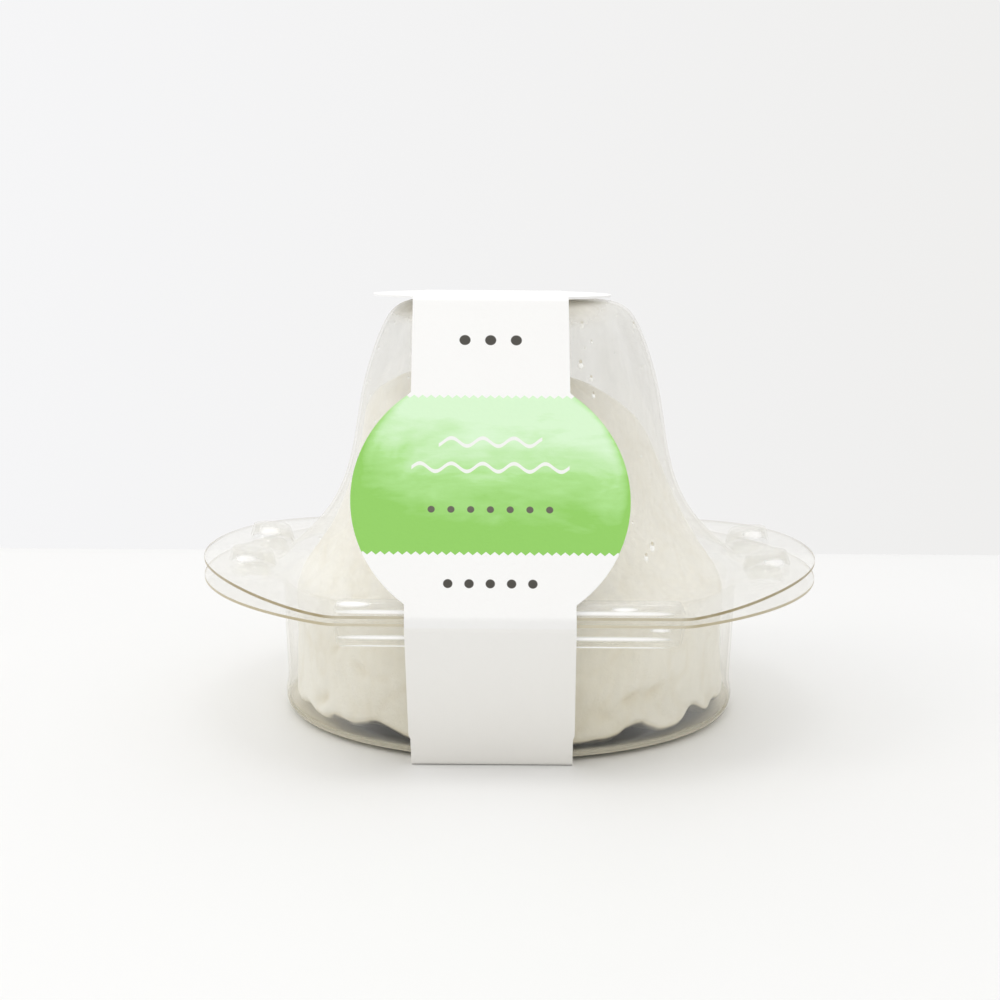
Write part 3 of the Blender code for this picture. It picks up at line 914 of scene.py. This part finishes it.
class CHEESE_OT_cheese(bpy.types.Operator):
    """Spins the bell-shaped cheese and gives its rind folds, wrinkles and pits"""
    bl_idname = "cheese.cheese"
    bl_label = "Cheese"

    def execute(self, context):
        settings = context.scene.cheese_body
        noise.seed_set(NOISE_SEED)
        mesh = spin_profile(smooth_path(CHEESE_WALL, 0.8), 340)
        face_up_side = max(mesh.faces, key=lambda face: face.calc_center_median().z)
        if face_up_side.normal.z < 0:
            bmesh.ops.reverse_faces(mesh, faces=mesh.faces)
        # This attribute holds painted shade: under the foot's edge, then in the folds and pits
        layer = mesh.verts.layers.float.new("hollow")
        for vert in mesh.verts:
            vert[layer] = self.underside(vert.co / MM)
            self.slump(vert)
        mesh.normal_update()
        normals = {vert: vert.normal.copy() for vert in mesh.verts}
        for vert in mesh.verts:
            place = vert.co / MM
            low = 1.0 - smooth_step((place.z - 30.0) / 16.0)
            fold = fold_depth(place)
            wrinkle = 0.5 - 0.5 * noise.noise(place / 1.9)
            pits = pit_depth(place)
            share = 0.45 + 0.55 * low
            if place.z < 1.3:
                continue
            depth = fold * settings.relief * share + wrinkle * settings.wrinkle + pits * MM
            vert.co -= normals[vert] * depth
            # More painted shade in the folds and pits
            vert[layer] += 0.6 * min(1.0, 1.1 * max(0.0, fold - 0.35) * share + 0.7 * pits)
        make_piece(mesh, "cheese_rind", "cheese", [rind_material(settings)])
        return {"FINISHED"}

    def underside(self, place):
        """How dark the foot's lower edge is: 1 where it lies in its own shade."""
        degrees = math.degrees(math.atan2(place.x, -place.y))
        open_side = smooth_step((degrees + 60.0) / 12.0) * smooth_step((92.0 - degrees) / 12.0)
        low = 1.0 - smooth_step((place.z - 2.0) / 1.6)
        return low * (0.35 + 0.65 * open_side)

    def slump(self, vert):
        """The uneven form: soft lumps, a foot with hollows, and a top that leans."""
        radius = vert.co.xy.length / MM
        z = vert.co.z / MM
        if radius < 0.01:
            return
        turn = math.atan2(vert.co.y, vert.co.x)
        lift = foot_lift(turn)
        if z > 5.2:
            near_edge = 0.6 * max(0.0, 1.0 - (z - 5.0) / 6.0)
        elif z > 3.2:
            near_edge = 1.0 - 0.21 * (z - 3.2)
        else:
            near_edge = smooth_step((radius - 30.0) / 11.0)
        reach = radius
        grow = smooth_step((z - 2.0) / 3.0)
        reach += cheese_lumps(turn, z) * min(1.0, radius / 20.0) * grow
        if radius > 38.0:
            reach -= 0.35 * lift * (1.0 - grow)
        x = reach * math.cos(turn)
        y = reach * math.sin(turn) * squeeze(z)
        lean = smooth_step((z - 46.0) / 12.0) * -0.13 * x
        drop = 0.5 * math.sin(3 * turn + 0.7) * smooth_step((z - 52.0) / 10.0) * min(1.0, radius / 15.0)
        vert.co = Vector((x, y, z + lift * near_edge + lean + drop)) * MM


class CHEESE_OT_tray(bpy.types.Operator):
    """Forms the clear tray with its foot, flange, press buttons and latch ribs"""
    bl_idname = "cheese.tray"
    bl_label = "Tray"

    def execute(self, context):
        settings = context.scene.cheese_sheet
        profile = smooth_path(TRAY_WALL, 1.0)
        root = TRAY_WALL[-1][0]
        rows = 17
        for row in range(1, rows + 1):
            profile.append(Vector((root + (FLANGE_R - root) * row / rows, TRAY_FLANGE_Z)))
        mesh = spin_profile(profile, 300)
        face_up(mesh, False)
        shape_flange(mesh, root, TRAY_BUTTON_R, tray_height)
        for vert in mesh.verts:
            vert.co.y *= squeeze(vert.co.z / MM)
        materials = [sheet_material("tray_sheet", settings, 0.08, (0.95, 0.93, 0.87), TRAY_GLINTS, True), edge_material("tray_edge", settings.tray_edge)]
        piece = make_piece(mesh, "clear_tray", "tray", materials)
        thicken(piece, settings.thickness)
        return {"FINISHED"}


class CHEESE_OT_lid(bpy.types.Operator):
    """Forms the clear bell lid with its flange, press buttons and latch ribs"""
    bl_idname = "cheese.lid"
    bl_label = "Lid"

    def execute(self, context):
        settings = context.scene.cheese_sheet
        profile = smooth_path(LID_WALL, 1.2)
        root = LID_ROOT[0]
        rows = 18
        for row in range(1, rows + 1):
            profile.append(Vector((root + (FLANGE_R - root) * row / rows, LID_FLANGE_Z)))
        mesh = spin_profile(profile, 300)
        face_up(mesh, True)
        shape_flange(mesh, root, LID_BUTTON_R, lid_height)
        materials = [sheet_material("lid_sheet", settings, 0.18, (0.98, 0.975, 0.955), LID_GLINTS, False), edge_material("lid_edge", settings.lid_edge)]
        piece = make_piece(mesh, "clear_lid", "lid", materials)
        thicken(piece, settings.thickness)
        return {"FINISHED"}


class CHEESE_OT_drops(bpy.types.Operator):
    """Hangs drops of water on the inside of the lid's bell"""
    bl_idname = "cheese.drops"
    bl_label = "Drops"

    def execute(self, context):
        settings = context.scene.cheese_sheet
        mesh = bmesh.new()
        for place, radius in DROPS:
            self.drop(mesh, Vector(place), radius)
        chance = random.Random(7)
        wall = smooth_path(LID_WALL, 0.5)
        wall = [point for point in wall if 33.0 < point.y < 79.0]
        for _ in range(settings.small_drops):
            point = chance.choice(wall)
            turn = chance.uniform(0.0, 2.0 * math.pi)
            reach = point.x - settings.thickness / MM
            place = Vector((reach * math.cos(turn), reach * math.sin(turn), point.y))
            self.drop(mesh, place, chance.uniform(0.12, 0.34))
        # Painted highlight and painted shade: a white bead that glows, with a tan bead above it that glows a
        # little
        materials = [
            drop_material("drop_light", (0.99, 0.99, 0.98), 0.95),
            drop_material("drop_shade", (0.62, 0.57, 0.44), 0.55)]
        make_piece(mesh, "water_drops", None, materials)
        return {"FINISHED"}

    def drop(self, mesh, place, radius):
        inward = Vector((-place.x, -place.y, -place.xy.length * 0.35)).normalized()
        turned = inward.to_track_quat("Z", "Y").to_matrix().to_4x4()
        form = turned @ Matrix.Diagonal((1.0, 1.15, 0.55, 1.0))
        segments = 16 if radius > 0.4 else 8
        # A lit bead low in the drop and a shaded bead above it: painted highlight and painted shade
        for side, share, lift in ((0, 0.80, -0.3), (1, 0.48, 0.8)):
            centre = (place + inward * 0.12 + Vector((0.0, 0.0, lift * radius))) * MM
            made = bmesh.ops.create_uvsphere(
                mesh, u_segments=segments, v_segments=segments // 2,
                radius=radius * share * MM, matrix=Matrix.Translation(centre) @ form)
            for face in {face for vert in made["verts"] for face in vert.link_faces}:
                face.material_index = side


class CHEESE_OT_sleeve(bpy.types.Operator):
    """Folds the card sleeve round the pack, with its top disc and front medallion"""
    bl_idname = "cheese.sleeve"
    bl_label = "Sleeve"
    columns = 12

    def execute(self, context):
        settings = context.scene.cheese_sleeve
        mesh = bmesh.new()
        verts = [mesh.verts.new((0.0, y * MM, z * MM)) for y, z in self.path()]
        edges = []
        for index, vert in enumerate(verts):
            edges.append(mesh.edges.new((vert, verts[(index + 1) % len(verts)])))
        for _ in range(self.columns):
            made = bmesh.ops.extrude_edge_only(mesh, edges=edges)["geom"]
            moved = [item for item in made if isinstance(item, bmesh.types.BMVert)]
            bmesh.ops.translate(mesh, vec=(1.0, 0.0, 0.0), verts=moved)
            edges = [item for item in made if isinstance(item, bmesh.types.BMEdge)]
        for vert in mesh.verts:
            y = vert.co.y / MM
            z = vert.co.z / MM
            share = round(vert.co.x) / self.columns * 2.0 - 1.0
            middle = SLEEVE_X - SLEEVE_LEAN * (z / SLEEVE_TOP - 0.5)
            vert.co.x = (middle + share * self.half_width(y, z)) * MM
        bmesh.ops.recalc_face_normals(mesh, faces=mesh.faces)
        top = max(mesh.faces, key=lambda face: face.calc_center_median().z)
        if top.normal.z < 0:
            bmesh.ops.reverse_faces(mesh, faces=mesh.faces)
        materials = [
            card_material("card_printed", settings, True),
            card_material("card_edge", settings, False),
            card_material("card_inside", settings, False)]
        piece = make_piece(mesh, "card_sleeve", "sleeve", materials)
        thicken(piece, settings.thickness, 2, 1)
        return {"FINISHED"}

    def half_width(self, y, z):
        """Half the card's width: the band's, or the wider of it and a disc."""
        if z > SLEEVE_TOP - 0.6:
            disc = math.sqrt(max(TOP_DISC_R ** 2 - y * y, 0.0))
            return max(disc, BAND_HALF_TOP)
        if y < 0.0 and z > 29.0:
            away = (SLEEVE_TOP - z) * PANEL_SLOPE - MEDALLION_FROM_CROWN
            disc = math.sqrt(max(MEDALLION_R ** 2 - away * away, 0.0))
            band = BAND_HALF_TOP if away < 0 else BAND_HALF
            return max(disc, band)
        if z < 6.0:
            return BAND_HALF_BASE
        return BAND_HALF if z < 60.0 else BAND_HALF_TOP

    def path(self):
        """Points round the card's outside as y and z, with rounded corners."""
        points = []
        corners = SLEEVE_CORNERS
        rounded = []
        for index, (y, z, radius) in enumerate(corners):
            before = Vector(corners[index - 1][:2])
            after = Vector(corners[(index + 1) % len(corners)][:2])
            rounded.append(self.bend(before, Vector((y, z)), after, radius, 7))
        for index, arc in enumerate(rounded):
            start = rounded[index - 1][-1]
            pieces = max(1, round((arc[0] - start).length / 0.7))
            for piece in range(1, pieces):
                points.append(start.lerp(arc[0], piece / pieces))
            points.extend(arc)
        return points

    def bend(self, before, corner, after, radius, steps):
        back = (before - corner).normalized()
        ahead = (after - corner).normalized()
        half = back.angle(ahead) / 2
        reach = radius / math.tan(half)
        centre = corner + (back + ahead).normalized() * (radius / math.sin(half))
        start = (corner + back * reach - centre).normalized()
        end = (corner + ahead * reach - centre).normalized()
        return [centre + start.slerp(end, step / steps) * radius for step in range(steps + 1)]


class CHEESE_PT_panel(bpy.types.Panel):
    """Lists the pack's pieces and their settings"""
    bl_idname = "CHEESE_PT_panel"
    bl_label = "Soft goat cheese"
    bl_space_type = "VIEW_3D"
    bl_region_type = "UI"
    bl_category = "Cheese"

    def draw(self, context):
        layout = self.layout
        for name in ("cheese_stage", "cheese_body", "cheese_sheet", "cheese_sleeve"):
            group = getattr(context.scene, name)
            box = layout.box()
            for prop in group.bl_rna.properties:
                if prop.identifier not in {"rna_type", "name"}:
                    box.prop(group, prop.identifier)
        for name in PIECES:
            layout.operator("cheese." + name)


PIECES = ("stage", "cheese", "tray", "lid", "drops", "sleeve")
GROUPS = {
    "cheese_stage": StageSettings,
    "cheese_body": CheeseSettings,
    "cheese_sheet": SheetSettings,
    "cheese_sleeve": SleeveSettings,
}
CLASSES = tuple(GROUPS.values()) + (
    CHEESE_OT_stage,
    CHEESE_OT_cheese,
    CHEESE_OT_tray,
    CHEESE_OT_lid,
    CHEESE_OT_drops,
    CHEESE_OT_sleeve,
    CHEESE_PT_panel,
)


def register():
    for kind in CLASSES:
        bpy.utils.register_class(kind)
    for name, group in GROUPS.items():
        setattr(bpy.types.Scene, name, bpy.props.PointerProperty(type=group))


def unregister():
    for name in GROUPS:
        delattr(bpy.types.Scene, name)
    for kind in reversed(CLASSES):
        bpy.utils.unregister_class(kind)


def main():
    register()
    for name in PIECES:
        getattr(bpy.ops.cheese, name)()


if __name__ == "__main__":
    main()
